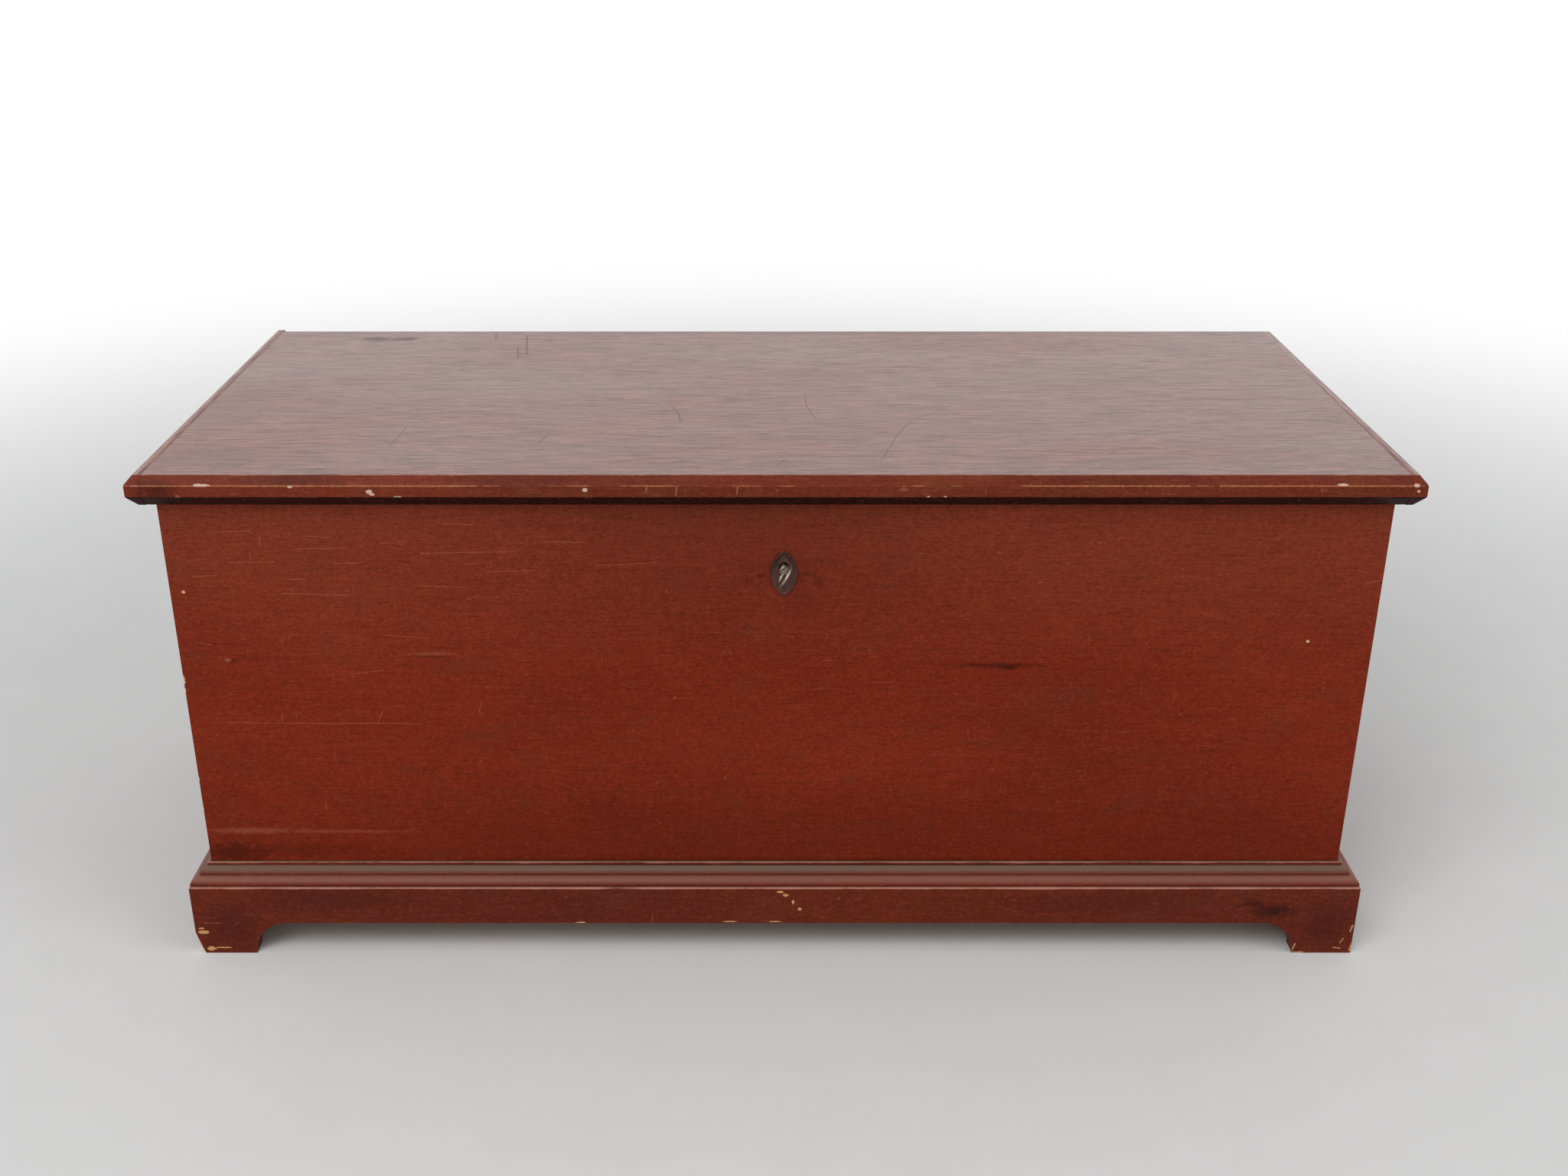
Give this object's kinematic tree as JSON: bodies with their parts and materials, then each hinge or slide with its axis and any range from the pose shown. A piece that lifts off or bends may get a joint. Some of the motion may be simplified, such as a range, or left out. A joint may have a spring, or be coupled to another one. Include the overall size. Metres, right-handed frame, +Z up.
{
  "type": "blanket chest",
  "caption": "Painted pine blanket chest with a hinged lid, moulded bracket base, and a front lock with its key.",
  "frame": {"origin": "on the floor, in the middle of the chest's bounding box", "axes": "+X to the chest's right-hand end seen from the front, +Y from its front to its back, +Z up"},
  "size_m": [1.263, 0.5657, 0.553],
  "materials": {
    "painted_pine": "worn red-brown paint",
    "bare_pine": "bare, aged",
    "cast_iron": "dull, dark",
    "steel": "dull, worn",
    "aged_brass": "dark patina"
  },
  "bodies": {
    "case": {"front_board": "painted_pine", "back_board": "painted_pine", "left_end_board": "painted_pine", "right_end_board": "painted_pine", "base_front": "painted_pine", "base_left": "painted_pine", "base_right": "painted_pine", "cove_front": "painted_pine", "cove_left": "painted_pine", "cove_right": "painted_pine", "rear_bracket_left": "bare_pine", "rear_bracket_right": "bare_pine", "bottom_board_1": "bare_pine", "bottom_board_2": "bare_pine", "bottom_board_3": "bare_pine", "foot_block_front_left": "bare_pine", "foot_block_front_right": "bare_pine", "foot_block_rear_left": "bare_pine", "foot_block_rear_right": "bare_pine", "bottom_nails": "steel", "base_nails": "steel", "moulding_brads": "steel", "hinge_case_screws": "steel", "hinge_left_case_leaf": "cast_iron", "hinge_right_case_leaf": "cast_iron", "hinge_pin_left": "steel", "hinge_pin_right": "steel", "lock_plate": "steel", "lock_cap": "steel", "lock_drill_pin": "steel", "lock_stud_left": "steel", "lock_stud_right": "steel", "lock_spring": "steel", "lock_screws": "steel", "escutcheon": "aged_brass", "escutcheon_pins": "aged_brass"},
    "lid": {"lid_board": "painted_pine", "lid_cleat_left": "painted_pine", "lid_cleat_right": "painted_pine", "cleat_nails": "steel", "hinge_left_lid_leaf": "cast_iron", "hinge_right_lid_leaf": "cast_iron", "hinge_lid_screws": "steel", "lock_strike": "steel", "strike_screws": "steel"},
    "bolt": {"lock_bolt": "steel"},
    "key": {"key": "steel"}
  },
  "joints": [
    {"name": "lid_hinge", "type": "hinge", "parent": "case", "child": "lid", "pos_m": [0, 0.2705, 0.5205], "axis": [-1, 0, 0], "range_deg": [0, 100]},
    {"name": "key_turn", "type": "hinge", "parent": "case", "child": "key", "pos_m": [0.0085, -0.2445, 0.4515], "axis": [0, -1, 0], "range_deg": [0, 64]},
    {"name": "bolt_slide", "type": "slide", "parent": "case", "child": "bolt", "axis": [-1, 0, 0], "range_m": [0, 0.0095]}
  ],
  "couplings": [
    {"joint": "key_turn", "follows": "bolt_slide", "rad_per_m": 117.58}
  ]
}
